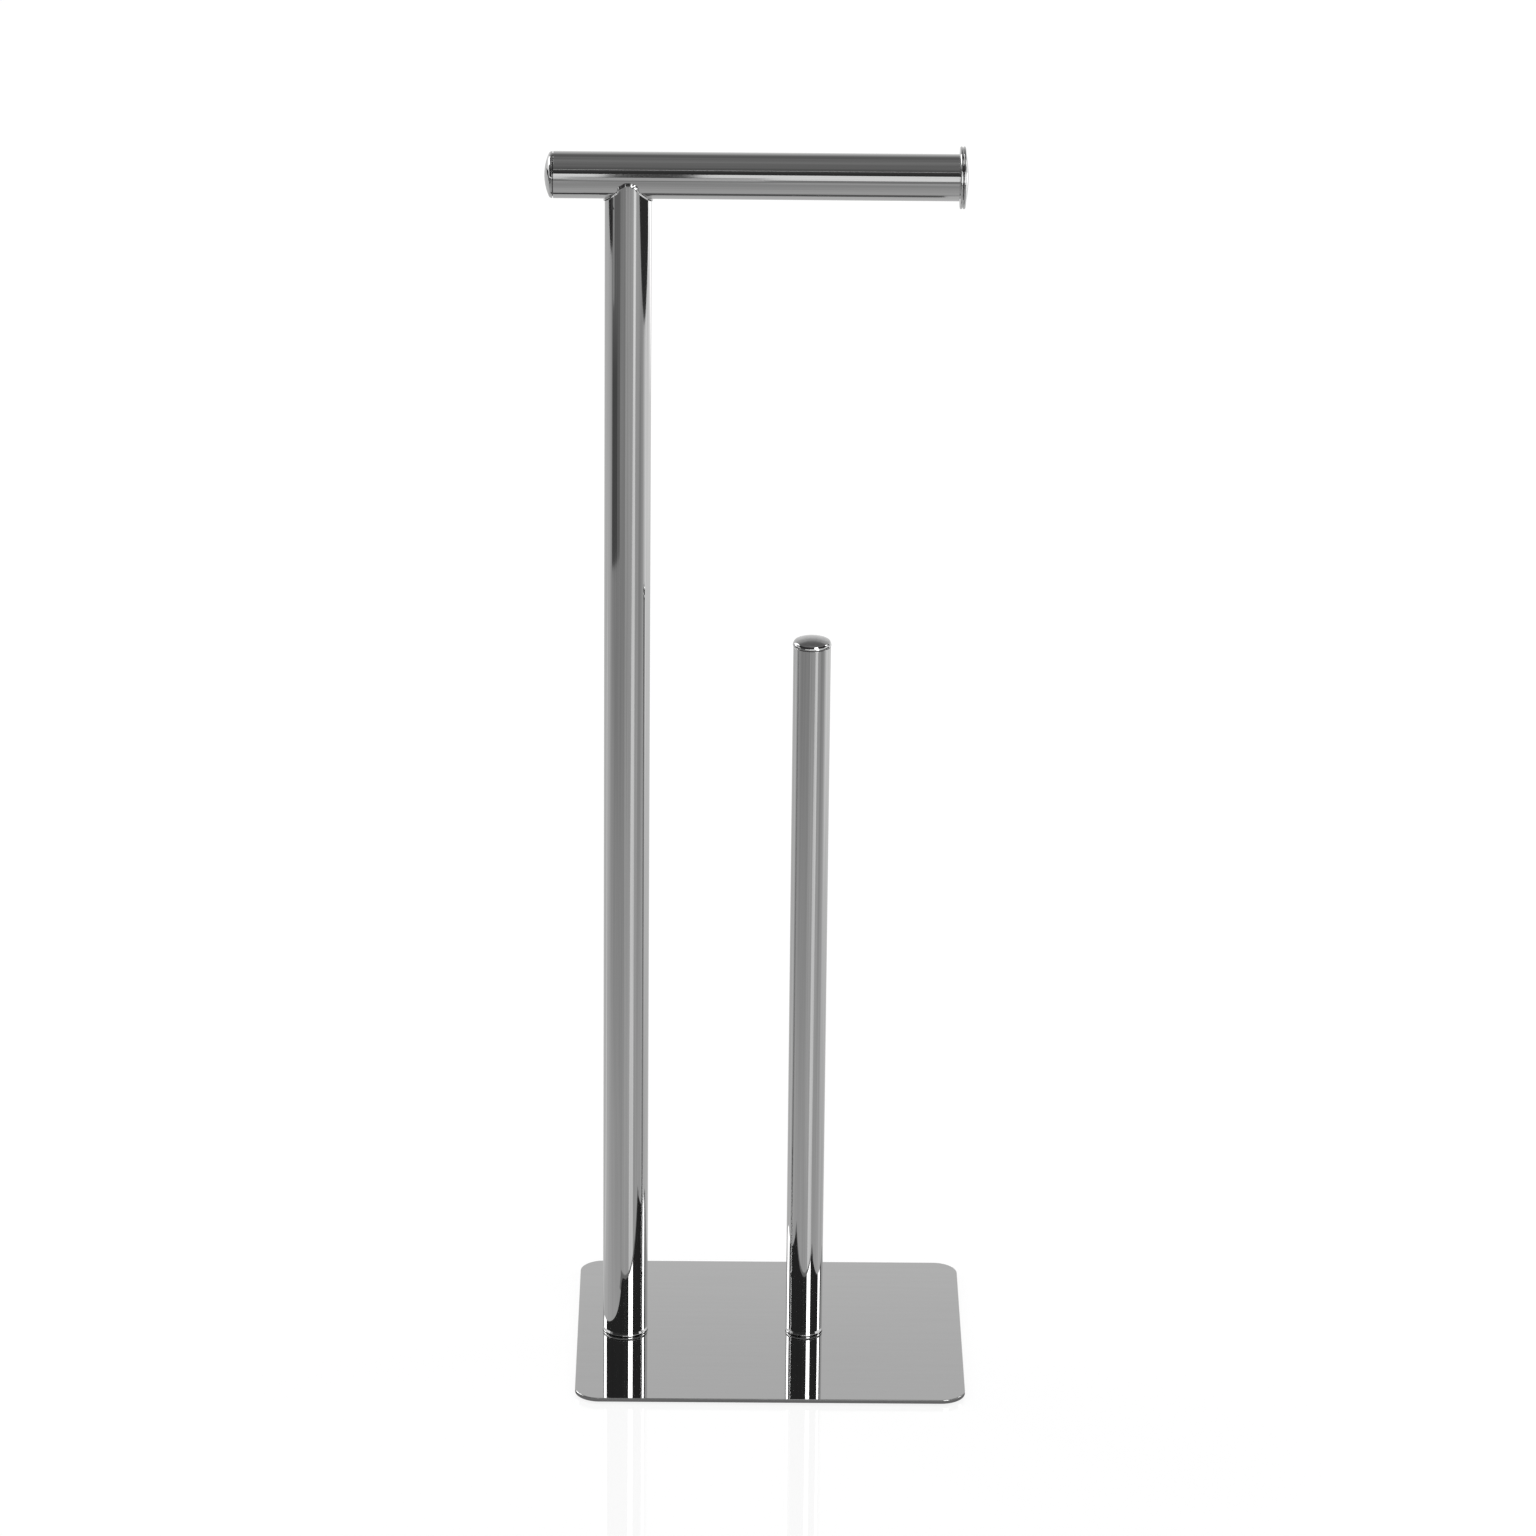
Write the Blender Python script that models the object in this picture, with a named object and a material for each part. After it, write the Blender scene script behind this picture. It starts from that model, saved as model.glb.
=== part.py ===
"""A free-standing toilet roll stand in chromed steel, modelled as the pieces it is put together from.

A flat base plate carries two upright tubes. A round arm is welded across the top of the taller one, and the
roll in use slides onto its long end, over a round flange. Spare rolls are stacked on the shorter tube.

Lengths are in metres. +X runs along the arm to its flange, +Y to the back and +Z up. The origin is on the
floor, under the middle of the base plate.
"""

import math

import bmesh
import bpy
from mathutils import Matrix, Vector

# Counts of facets
TUBE_STEPS = 64
TURN_STEPS = 48
SCREW_STEPS = 24
CUTTER_STEPS = 96
ROUND_STEPS = 2
DOME_STEPS = 6
CORNER_STEPS = 10
SOCKET_SIDES = 6

# Clearances
SEAT_GAP = 0.0003
SPIGOT_CLEARANCE = 0.00015
SCREW_CLEARANCE = 0.0002
CUT_OVERRUN = 0.002
MERGE_DISTANCE = 0.000001

# Base plate
PLATE_WIDTH = 0.190
PLATE_DEPTH = 0.160
PLATE_THICKNESS = 0.002
PLATE_CORNER_RADIUS = 0.012
PLATE_EDGE_ROUND = 0.0003

# Anti-slip mat under the plate
MAT_THICKNESS = 0.0008
MAT_INSET = 0.004
MAT_HOLE_DIAMETER = 0.014

# Where the posts stand: the main one from the plate's left edge, the spare one from the main one
MAIN_POST_INSET = 0.0235
POST_SPACING = 0.0885

# The main post and the arm are cut from one tube. The arm's axis is measured from the top of the plate,
# and its overhang from the post's axis to the tube's left end.
TUBE_DIAMETER = 0.022
TUBE_WALL = 0.001
TUBE_EDGE_ROUND = 0.0002
ARM_AXIS_HEIGHT = 0.5925
ARM_TUBE_LENGTH = 0.1895
ARM_OVERHANG = 0.035

# Spare roll post, from the top of the plate to the end of its tube
SPARE_TUBE_DIAMETER = 0.018
SPARE_TUBE_WALL = 0.001
SPARE_POST_HEIGHT = 0.360

# Weld bead in the saddle between the post and the arm
WELD_ROOT_GAP = 0.0003
WELD_CLEARANCE = 0.0002
WELD_SIDE_LEG = 0.0009
WELD_PEAK_LEG = 0.0016
WELD_STATIONS = 120
WELD_FACE_STEPS = 5
WELD_RIPPLES = 30
WELD_SIDE_CROWN_SHARE = 0.12
WELD_PEAK_CROWN_SHARE = 0.34
WELD_POST_LEG_SHARE = 0.8
WELD_RIPPLE_SHARE = 0.16

# Push-in caps: the plain domed ones, and the wide one that closes the arm's flange
CAP_SPIGOT_LENGTH = 0.009
CAP_SPIGOT_WALL = 0.0015
CAP_SPIGOT_CHAMFER = 0.0006
CAP_LIP_WIDTH = 0.0012
CAP_LIP_ROUND = 0.0003
CAP_CREASE = 0.00025
ARM_CAP_RISE = 0.0027
SPARE_CAP_RISE = 0.0031
SPARE_CAP_LIP_PROUD = 0.00015
FLANGE_DIAMETER = 0.0293
FLANGE_RIM_WIDTH = 0.0012
FLANGE_SEAM = 0.0002
FLANGE_CAP_RISE = 0.0014

# Threaded plugs in the feet of the posts
FOOT_LIP_HEIGHT = 0.0014
FOOT_LIP_ROUND = 0.0005
FOOT_SPIGOT_CHAMFER = 0.001
FOOT_END_WALL = 0.003
TAP_LEAD_IN = 0.0004
TAP_RUN_OUT = 0.002

# Countersunk socket screws from under the plate
SCREW_DIAMETER = 0.005
SCREW_LENGTH = 0.012
SCREW_POINT = 0.0006
SCREW_HEAD_DIAMETER = 0.0092
SCREW_HEAD_LAND = 0.0002
SCREW_HEAD_RECESS = 0.0001
SCREW_SOCKET_WIDTH = 0.003
SCREW_SOCKET_DEPTH = 0.0017

# Heights and places that follow from the sizes above
PLATE_BOTTOM = MAT_THICKNESS + SEAT_GAP
PLATE_TOP = PLATE_BOTTOM + PLATE_THICKNESS
MAIN_POST_X = MAIN_POST_INSET - PLATE_WIDTH / 2
SPARE_POST_X = MAIN_POST_X + POST_SPACING
PLUG_SEAT = SEAT_GAP
TUBE_FOOT = PLUG_SEAT + FOOT_LIP_HEIGHT + SEAT_GAP
TUBE_RADIUS = TUBE_DIAMETER / 2
SPARE_RADIUS = SPARE_TUBE_DIAMETER / 2
COPE_RADIUS = TUBE_RADIUS + WELD_ROOT_GAP
SCREW_RADIUS = SCREW_DIAMETER / 2
SCREW_HEAD_RADIUS = SCREW_HEAD_DIAMETER / 2
SCREW_CONE_TOP = SCREW_HEAD_RECESS + SCREW_HEAD_LAND + SCREW_HEAD_RADIUS - SCREW_RADIUS
SCREW_TIP = SCREW_HEAD_RECESS + SCREW_LENGTH


def clear_scene():
    for thing in list(bpy.data.objects):
        bpy.data.objects.remove(thing, do_unlink=True)


def finish(name, grey, metallic, roughness):
    """A plain grey Principled material."""
    material = bpy.data.materials.new(name)
    material.use_nodes = True
    shader = material.node_tree.nodes["Principled BSDF"]
    shader.inputs["Base Color"].default_value = (grey, grey, grey, 1)
    shader.inputs["Metallic"].default_value = metallic
    shader.inputs["Roughness"].default_value = roughness
    return material


def chrome(name):
    return finish(name + "_chrome", grey=0.62, metallic=1, roughness=0.08)


def zinc(name):
    return finish(name + "_zinc", grey=0.45, metallic=1, roughness=0.35)


def add_marker(name, parent, place, turn=0):
    """An empty that carries one group of pieces. turn is its rotation about Y."""
    marker = bpy.data.objects.new(name, None)
    bpy.context.scene.collection.objects.link(marker)
    marker.parent = parent
    marker.location = place
    marker.rotation_euler.y = turn
    return marker


def add_piece(name, shape, material, parent, height=0):
    """Turns a bmesh into an object that stands at a height along its parent's Z axis."""
    bmesh.ops.recalc_face_normals(shape, faces=shape.faces)
    mesh = bpy.data.meshes.new(name)
    shape.to_mesh(mesh)
    shape.free()
    mesh.shade_smooth()
    mesh.set_sharp_from_angle(angle=math.radians(40))
    if material:
        mesh.materials.append(material)
    piece = bpy.data.objects.new(name, mesh)
    bpy.context.scene.collection.objects.link(piece)
    piece.parent = parent
    piece.location.z = height
    return piece


def cut(piece, name, shape, parent, height=0):
    """Takes a cutter's shape away from a piece with a Boolean modifier."""
    cutter = add_piece(name, shape, None, parent, height)
    cutter.hide_render = True
    cutter.display_type = "WIRE"
    modifier = piece.modifiers.new(name, "BOOLEAN")
    modifier.operation = "DIFFERENCE"
    modifier.object = cutter


def keep_faces_flat(piece):
    """Stops smooth shading from spreading a rounded edge's shade over the flat faces beside it."""
    piece.modifiers.new("flat_faces", "WEIGHTED_NORMAL")


def arc(radius_centre, height_centre, radius, start, end, steps=ROUND_STEPS):
    """Profile points round an arc, from one angle to another in degrees."""
    points = []
    for i in range(steps + 1):
        angle = math.radians(start + (end - start) * i / steps)
        points.append((radius_centre + radius * math.cos(angle), height_centre + radius * math.sin(angle)))
    return points


def lip(radius, bottom, top, edge_round):
    """Profile of a lip's outer side, with both its edges rounded."""
    lower = arc(radius - edge_round, bottom + edge_round, edge_round, -90, 0)
    upper = arc(radius - edge_round, top - edge_round, edge_round, 0, 90)
    return lower + upper


def dome(radius, base, rise):
    """Profile of a dome that leaves its rim steeply and flattens to the middle, as a pressed cap does."""
    points = []
    for i in range(DOME_STEPS + 1):
        angle = math.radians(90) * i / DOME_STEPS
        points.append((radius * math.cos(angle), base + rise * math.sin(angle)))
    return points


def turned(profile, steps=TURN_STEPS, ring=False):
    """Spins a profile of (radius, height) about Z. A ring's profile closes on itself.

    Any other profile starts and ends on the axis.
    """
    shape = bmesh.new()
    points = [shape.verts.new((radius, 0, height)) for radius, height in profile]
    for start, end in zip(points, points[1:]):
        shape.edges.new((start, end))
    if ring:
        shape.edges.new((points[-1], points[0]))
    bmesh.ops.spin(
        shape,
        geom=shape.verts[:] + shape.edges[:],
        cent=(0, 0, 0),
        axis=(0, 0, 1),
        angle=math.tau,
        steps=steps,
        use_merge=True,
    )
    bmesh.ops.remove_doubles(shape, verts=shape.verts, dist=MERGE_DISTANCE)
    return shape


def tube(radius, wall, length):
    """An open tube standing on the origin, with the burr taken off its outer edges."""
    profile = [(radius - wall, 0)]
    profile += lip(radius, 0, length, TUBE_EDGE_ROUND)
    profile.append((radius - wall, length))
    return turned(profile, TUBE_STEPS, ring=True)


def slab(width, depth, thickness, corner_radius):
    """A flat sheet with round corners, standing on the origin."""
    shape = bmesh.new()
    size = Matrix.Diagonal((width, depth, thickness, 1))
    bmesh.ops.create_cube(shape, size=1, matrix=Matrix.Translation((0, 0, thickness / 2)) @ size)
    upright = [edge for edge in shape.edges if abs(edge.verts[0].co.z - edge.verts[1].co.z) > thickness / 2]
    bmesh.ops.bevel(
        shape,
        geom=upright,
        offset=corner_radius,
        segments=CORNER_STEPS,
        profile=0.5,
        affect="EDGES",
    )
    return shape


def disc(radius, bottom, top, steps=TURN_STEPS):
    return turned([(0, bottom), (radius, bottom), (radius, top), (0, top)], steps)


def countersink():
    """The space that a screw needs in the plate, from the plate's underside up."""
    sink = SCREW_HEAD_RADIUS + SCREW_CLEARANCE
    hole = SCREW_RADIUS + SCREW_CLEARANCE
    land = SCREW_HEAD_RECESS + SCREW_HEAD_LAND
    cone_top = land + sink - hole
    top = max(cone_top, PLATE_THICKNESS) + CUT_OVERRUN
    profile = [(0, -CUT_OVERRUN), (sink, -CUT_OVERRUN), (sink, land), (hole, cone_top)]
    return turned(profile + [(hole, top), (0, top)])


def make_base_plate(stand, feet):
    shape = slab(PLATE_WIDTH, PLATE_DEPTH, PLATE_THICKNESS, PLATE_CORNER_RADIUS)
    plate = add_piece("base_plate", shape, chrome("base_plate"), stand, PLATE_BOTTOM)
    rounding = plate.modifiers.new("edge_round", "BEVEL")
    rounding.width = PLATE_EDGE_ROUND
    rounding.segments = ROUND_STEPS
    rounding.limit_method = "ANGLE"
    rounding.angle_limit = math.radians(60)
    for name, foot in feet.items():
        cut(plate, name + "_countersink", countersink(), foot, -PLATE_THICKNESS)
    keep_faces_flat(plate)


def make_mat(stand, feet):
    width = PLATE_WIDTH - 2 * MAT_INSET
    depth = PLATE_DEPTH - 2 * MAT_INSET
    shape = slab(width, depth, MAT_THICKNESS, PLATE_CORNER_RADIUS - MAT_INSET)
    foam = finish("eva_foam", grey=0.03, metallic=0, roughness=0.9)
    mat = add_piece("anti_slip_mat", shape, foam, stand)
    for name, foot in feet.items():
        hole = disc(MAT_HOLE_DIAMETER / 2, -CUT_OVERRUN, MAT_THICKNESS + CUT_OVERRUN)
        cut(mat, name + "_mat_hole", hole, foot, -PLATE_TOP)
    keep_faces_flat(mat)


def make_foot_plug(name, foot, radius, wall):
    """The flanged plug in the foot of a tube. The screw is driven into it from under the plate."""
    spigot = radius - wall - SPIGOT_CLEARANCE
    tap = SCREW_RADIUS + SCREW_CLEARANCE
    cone_left = max(SCREW_CONE_TOP - PLATE_THICKNESS - PLUG_SEAT, 0)
    lead_in = TAP_LEAD_IN + cone_left
    tap_depth = SCREW_TIP - PLATE_THICKNESS - PLUG_SEAT + TAP_RUN_OUT
    drill_tip = tap_depth + tap * math.tan(math.radians(30))
    end = drill_tip + FOOT_END_WALL
    profile = [(0, drill_tip), (tap, tap_depth), (tap, lead_in), (tap + lead_in, 0)]
    profile += lip(radius, 0, FOOT_LIP_HEIGHT, FOOT_LIP_ROUND)
    profile += [(spigot, FOOT_LIP_HEIGHT), (spigot, end - FOOT_SPIGOT_CHAMFER)]
    profile += [(spigot - FOOT_SPIGOT_CHAMFER, end), (0, end)]
    add_piece(name, turned(profile), chrome(name), foot, PLUG_SEAT)


def make_foot_screw(name, foot):
    neck = SCREW_CONE_TOP - SCREW_HEAD_RECESS
    profile = [(0, 0), (SCREW_HEAD_RADIUS, 0), (SCREW_HEAD_RADIUS, SCREW_HEAD_LAND), (SCREW_RADIUS, neck)]
    profile += [(SCREW_RADIUS, SCREW_LENGTH - SCREW_POINT), (SCREW_RADIUS - SCREW_POINT, SCREW_LENGTH)]
    shape = turned(profile + [(0, SCREW_LENGTH)], SCREW_STEPS)
    head_face = SCREW_HEAD_RECESS - PLATE_THICKNESS
    screw = add_piece(name, shape, zinc(name), foot, head_face)
    corner_radius = SCREW_SOCKET_WIDTH / 2 / math.cos(math.pi / SOCKET_SIDES)
    socket = disc(corner_radius, -CUT_OVERRUN, SCREW_SOCKET_DEPTH, SOCKET_SIDES)
    cut(screw, name + "_socket", socket, foot, head_face)
    keep_faces_flat(screw)


def make_main_post(foot, arm):
    """The tall tube. Its top is coped, cut to a saddle that fits round the arm."""
    shape = tube(TUBE_RADIUS, TUBE_WALL, ARM_AXIS_HEIGHT - TUBE_FOOT)
    post = add_piece("main_post", shape, chrome("main_post"), foot, TUBE_FOOT)
    reach = TUBE_RADIUS + CUT_OVERRUN
    cut(post, "cope", disc(COPE_RADIUS, -reach, reach, CUTTER_STEPS), arm)


def make_arm_tube(arm):
    shape = tube(TUBE_RADIUS, TUBE_WALL, ARM_TUBE_LENGTH)
    add_piece("arm_tube", shape, chrome("arm_tube"), arm, -ARM_OVERHANG)


def weld_section(turn):
    """Outline of the bead at one angle round the post, with z = 0 on the arm's axis.

    The bead touches the post at one toe and the arm at the other. At the front and back peaks of the saddle
    it is left as welded, so its crown is high and rippled there. At the sides it is dressed low and even.
    """
    post_normal = Vector((math.cos(turn), math.sin(turn), 0))
    drop = math.sqrt(COPE_RADIUS**2 - (TUBE_RADIUS * math.sin(turn)) ** 2)
    skin = TUBE_RADIUS + WELD_CLEARANCE
    root = post_normal * skin - Vector((0, 0, drop))
    climb = TUBE_RADIUS**2 * math.sin(turn) * math.cos(turn) / drop
    along = Vector((-skin * math.sin(turn), skin * math.cos(turn), climb)).normalized()
    arm_normal = Vector((0, root.y, root.z)).normalized()
    peak = math.sin(turn) ** 8
    ripple = 1 + WELD_RIPPLE_SHARE * peak * math.cos(WELD_RIPPLES * turn)
    leg = WELD_SIDE_LEG + (WELD_PEAK_LEG - WELD_SIDE_LEG) * peak
    crown_share = WELD_SIDE_CROWN_SHARE + (WELD_PEAK_CROWN_SHARE - WELD_SIDE_CROWN_SHARE) * peak
    crown = leg * crown_share * ripple
    post_toe = root + along.cross(post_normal) * leg * WELD_POST_LEG_SHARE
    arm_toe = root + arm_normal.cross(along) * leg * ripple
    face_pull = (post_toe + arm_toe) / 2 + (post_normal + arm_normal).normalized() * 2 * crown
    points = [root]
    for i in range(WELD_FACE_STEPS + 1):
        t = i / WELD_FACE_STEPS
        points.append(post_toe * (1 - t) ** 2 + face_pull * 2 * t * (1 - t) + arm_toe * t**2)
    return points


def make_saddle_weld(foot):
    """The bead is a closed loop of sections, joined to their neighbours by faces."""
    shape = bmesh.new()
    rings = []
    for i in range(WELD_STATIONS):
        rings.append([shape.verts.new(point) for point in weld_section(math.tau * i / WELD_STATIONS)])
    for ring, following in zip(rings, rings[1:] + rings[:1]):
        for j, start in enumerate(ring):
            shape.faces.new((ring[j - 1], start, following[j], following[j - 1]))
    bead = finish("saddle_weld_chrome", grey=0.5, metallic=1, roughness=0.2)
    add_piece("saddle_weld", shape, bead, foot, ARM_AXIS_HEIGHT)


def spigot_profile(bore_radius, length):
    """The hollow spigot of a push-in cap, from the axis to the underside of the cap's lip at height 0."""
    outer = bore_radius - SPIGOT_CLEARANCE
    inner = outer - CAP_SPIGOT_WALL
    profile = [(0, 0), (inner, 0), (inner, -length), (outer - CAP_SPIGOT_CHAMFER, -length)]
    return profile + [(outer, CAP_SPIGOT_CHAMFER - length), (outer, 0)]


def crown_profile(lip_radius, lip_width, lip_round, rise):
    """A cap's lip and its dome, with a fine crease between them."""
    crease_radius = lip_radius - lip_round - CAP_CREASE
    profile = lip(lip_radius, 0, lip_width, lip_round)
    return profile + dome(crease_radius, lip_width - CAP_CREASE, rise + CAP_CREASE)


def make_domed_cap(name, parent, tube_end, bore_radius, lip_radius, rise):
    """A cap whose narrow lip covers the end of its tube."""
    profile = spigot_profile(bore_radius, CAP_SPIGOT_LENGTH)
    profile += crown_profile(lip_radius, CAP_LIP_WIDTH, CAP_LIP_ROUND, rise)
    add_piece(name, turned(profile), chrome(name), parent, tube_end + SEAT_GAP)


def make_arm_flange(arm, tube_end):
    """The stop at the arm's free end: a ring, and a wide domed cap whose spigot holds it to the tube."""
    bore = TUBE_RADIUS - TUBE_WALL
    rim_radius = FLANGE_DIAMETER / 2
    rim_round = FLANGE_RIM_WIDTH / 2
    profile = [(bore, 0)] + lip(rim_radius, 0, FLANGE_RIM_WIDTH, rim_round) + [(bore, FLANGE_RIM_WIDTH)]
    ring = turned(profile, ring=True)
    add_piece("arm_flange_ring", ring, chrome("arm_flange_ring"), arm, tube_end + SEAT_GAP)
    stack = SEAT_GAP + FLANGE_RIM_WIDTH + FLANGE_SEAM
    profile = spigot_profile(bore, stack + CAP_SPIGOT_LENGTH)
    profile += crown_profile(rim_radius, FLANGE_RIM_WIDTH, rim_round, FLANGE_CAP_RISE)
    add_piece("arm_flange_cap", turned(profile), chrome("arm_flange_cap"), arm, tube_end + stack)


def make_spare_post(foot):
    shape = tube(SPARE_RADIUS, SPARE_TUBE_WALL, SPARE_POST_HEIGHT - TUBE_FOOT)
    add_piece("spare_post", shape, chrome("spare_post"), foot, TUBE_FOOT)


def make_stand():
    clear_scene()
    stand = add_marker("stand", None, (0, 0, 0))
    main_foot = add_marker("main_foot", stand, (MAIN_POST_X, 0, PLATE_TOP))
    spare_foot = add_marker("spare_foot", stand, (SPARE_POST_X, 0, PLATE_TOP))
    saddle = (0, 0, ARM_AXIS_HEIGHT)
    arm = add_marker("arm_to_right", main_foot, saddle, turn=math.radians(90))
    stub = add_marker("arm_to_left", main_foot, saddle, turn=math.radians(-90))
    feet = {"main": main_foot, "spare": spare_foot}

    make_mat(stand, feet)
    make_base_plate(stand, feet)
    make_foot_plug("main_foot_plug", main_foot, TUBE_RADIUS, TUBE_WALL)
    make_foot_plug("spare_foot_plug", spare_foot, SPARE_RADIUS, SPARE_TUBE_WALL)
    make_foot_screw("main_foot_screw", main_foot)
    make_foot_screw("spare_foot_screw", spare_foot)

    make_main_post(main_foot, arm)
    make_arm_tube(arm)
    make_saddle_weld(main_foot)
    make_arm_flange(arm, ARM_TUBE_LENGTH - ARM_OVERHANG)
    make_domed_cap("arm_end_cap", stub, ARM_OVERHANG, TUBE_RADIUS - TUBE_WALL, TUBE_RADIUS, ARM_CAP_RISE)

    make_spare_post(spare_foot)
    spare_bore = SPARE_RADIUS - SPARE_TUBE_WALL
    spare_lip = SPARE_RADIUS + SPARE_CAP_LIP_PROUD
    make_domed_cap("spare_post_cap", spare_foot, SPARE_POST_HEIGHT, spare_bore, spare_lip, SPARE_CAP_RISE)


make_stand()
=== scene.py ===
# %% [markdown]
# # A chromed toilet roll stand
#
# The object is a free-standing stand for toilet rolls. A flat steel plate carries a tall tube with an arm
# welded across its top, and a shorter, thinner tube for spare rolls. Everything that shows is bright
# chrome, so the lesson has two halves: shapes that are exact enough for a mirror finish, and a studio for
# the mirror to look at.
#
# The CAD model comes first, as a fixed frame. Each visible piece is then built again with more facets and
# finer edges, in the place that the CAD node gives. A mirror shows every facet and every badly shaded edge,
# which is why the plain CAD meshes aren't simply painted.

import math

import bmesh
import bpy
from mathutils import Matrix, Vector


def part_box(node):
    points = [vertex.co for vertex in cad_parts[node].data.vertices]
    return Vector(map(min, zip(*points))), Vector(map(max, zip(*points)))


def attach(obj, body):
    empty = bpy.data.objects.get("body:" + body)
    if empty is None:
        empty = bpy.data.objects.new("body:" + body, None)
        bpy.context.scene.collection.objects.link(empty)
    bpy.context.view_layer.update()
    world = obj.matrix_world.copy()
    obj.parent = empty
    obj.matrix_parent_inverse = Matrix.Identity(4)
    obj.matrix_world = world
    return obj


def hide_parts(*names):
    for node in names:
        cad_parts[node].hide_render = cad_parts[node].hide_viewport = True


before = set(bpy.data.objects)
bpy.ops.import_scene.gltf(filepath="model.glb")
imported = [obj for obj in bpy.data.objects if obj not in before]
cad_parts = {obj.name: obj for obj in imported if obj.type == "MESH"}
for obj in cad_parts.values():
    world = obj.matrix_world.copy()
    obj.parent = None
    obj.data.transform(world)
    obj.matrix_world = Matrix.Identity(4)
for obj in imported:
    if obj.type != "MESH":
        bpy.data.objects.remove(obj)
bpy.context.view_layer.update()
MM = 0.001
print("CAD nodes:", len(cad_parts))

# %% [markdown]
# ## Where everything stands
#
# All places are read from the boxes of the CAD nodes, so that the visible pieces can't drift away from
# them. The plate lies on a thin mat, the posts stand on the plate, and the arm lies along +X. Two measures
# of the CAD model can't be read from a box: the wall of the tubes, and the gap that it leaves where one
# piece sits on another.

# %% Read the places from the CAD nodes
plate_low, plate_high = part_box("base_plate")
mat_low, mat_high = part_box("anti_slip_mat")
post_low, post_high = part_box("main_post")
arm_low, arm_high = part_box("arm_tube")
spare_low, spare_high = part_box("spare_post")
plug_low, plug_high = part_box("main_foot_plug")
spare_plug_low, spare_plug_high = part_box("spare_foot_plug")
screw_low, screw_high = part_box("main_foot_screw")
end_cap_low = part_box("arm_end_cap")[0]
spare_cap_low, spare_cap_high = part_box("spare_post_cap")
ring_low, ring_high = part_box("arm_flange_ring")
flange_cap_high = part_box("arm_flange_cap")[1]

post_x = (post_low.x + post_high.x) / 2
spare_x = (spare_low.x + spare_high.x) / 2
tube_radius = (arm_high.z - arm_low.z) / 2
spare_radius = (spare_high.x - spare_low.x) / 2
arm_z = (arm_high.z + arm_low.z) / 2
TUBE_WALL = 1.0 * MM
SEAT_GAP = 0.3 * MM
print("posts at x", round(post_x / MM, 2), round(spare_x / MM, 2), "mm")
print("arm axis at", round(arm_z / MM, 2), "mm above the floor")

# %% [markdown]
# ## A mesh from loops
#
# Tubes, caps, plugs and screws are all turned shapes: a profile goes round an axis. The profile could be
# spun by a Screw modifier, but a loop of points at each height does more, because a loop needn't be a
# circle. It can be the hexagon of a screw's socket, the saddle at the top of the post or the outline of the
# plate.
#
# So the first helper joins one loop of points to the next by faces, and every shape in this file uses it.

# %% Join loops of points into a mesh object
SHARP_ANGLE = math.radians(35)


def add_object(name, mesh):
    thing = bpy.data.objects.new(name, mesh)
    bpy.context.scene.collection.objects.link(thing)
    return thing


def finish_mesh(name, shape):
    """Turns a bmesh into an object with smooth shading that leaves the flat faces flat."""
    bmesh.ops.remove_doubles(shape, verts=shape.verts, dist=0.0001 * MM)
    bmesh.ops.recalc_face_normals(shape, faces=shape.faces)
    mesh = bpy.data.meshes.new(name)
    shape.to_mesh(mesh)
    shape.free()
    mesh.shade_smooth()
    mesh.set_sharp_from_angle(angle=SHARP_ANGLE)
    thing = add_object(name, mesh)
    flat = thing.modifiers.new("flat_faces", "WEIGHTED_NORMAL")
    flat.keep_sharp = True
    print(name, len(mesh.vertices), "points")
    return thing


def join_loops(shape, loops, closed=False):
    """Adds faces between loops of points. A loop of one point is the tip of a cone or dome."""
    rows = [[shape.verts.new(point) for point in loop] for loop in loops]
    pairs = list(zip(rows, rows[1:] + rows[:1] if closed else rows[1:]))
    for row, following in pairs:
        count = max(len(row), len(following))
        for i in range(count):
            j = (i + 1) % count
            if len(row) == 1:
                shape.faces.new((row[0], following[j], following[i]))
            elif len(following) == 1:
                shape.faces.new((row[i], row[j], following[0]))
            else:
                shape.faces.new((row[i], row[j], following[j], following[i]))
    return rows


print("edges stay sharp from", round(math.degrees(SHARP_ANGLE)), "degrees")

# %% [markdown]
# ## Turned shapes
#
# A profile is a list of points (radius, height). Each point gives a circle, and the joined circles are the
# turned piece. It is drawn upright and then tipped over if it belongs to the arm.

# %% Circles, arcs and turned pieces
FINE = 256


def circle(radius, height, steps=FINE):
    if radius == 0:
        return [Vector((0, 0, height))]
    turn = math.tau / steps
    angles = [turn * i for i in range(steps)]
    return [Vector((radius * math.cos(a), radius * math.sin(a), height)) for a in angles]


def arc(radius_centre, height_centre, radius, start, end, steps=8):
    """Profile points (radius, height) round an arc, from one angle to another in degrees."""
    angles = [math.radians(start + (end - start) * i / steps) for i in range(steps + 1)]
    return [(radius_centre + radius * math.cos(a), height_centre + radius * math.sin(a)) for a in angles]


def turned(name, profile, place, turn=0, closed=False, steps=FINE):
    """Takes a profile of (radius, height) round Z, tips it about Y by some degrees and puts it in place."""
    shape = bmesh.new()
    join_loops(shape, [circle(radius, height, steps) for radius, height in profile], closed)
    tip = Matrix.Translation(place) @ Matrix.Rotation(math.radians(turn), 4, "Y")
    bmesh.ops.transform(shape, matrix=tip, verts=shape.verts)
    return finish_mesh(name, shape)


print("a full circle has", FINE, "points")

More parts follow.
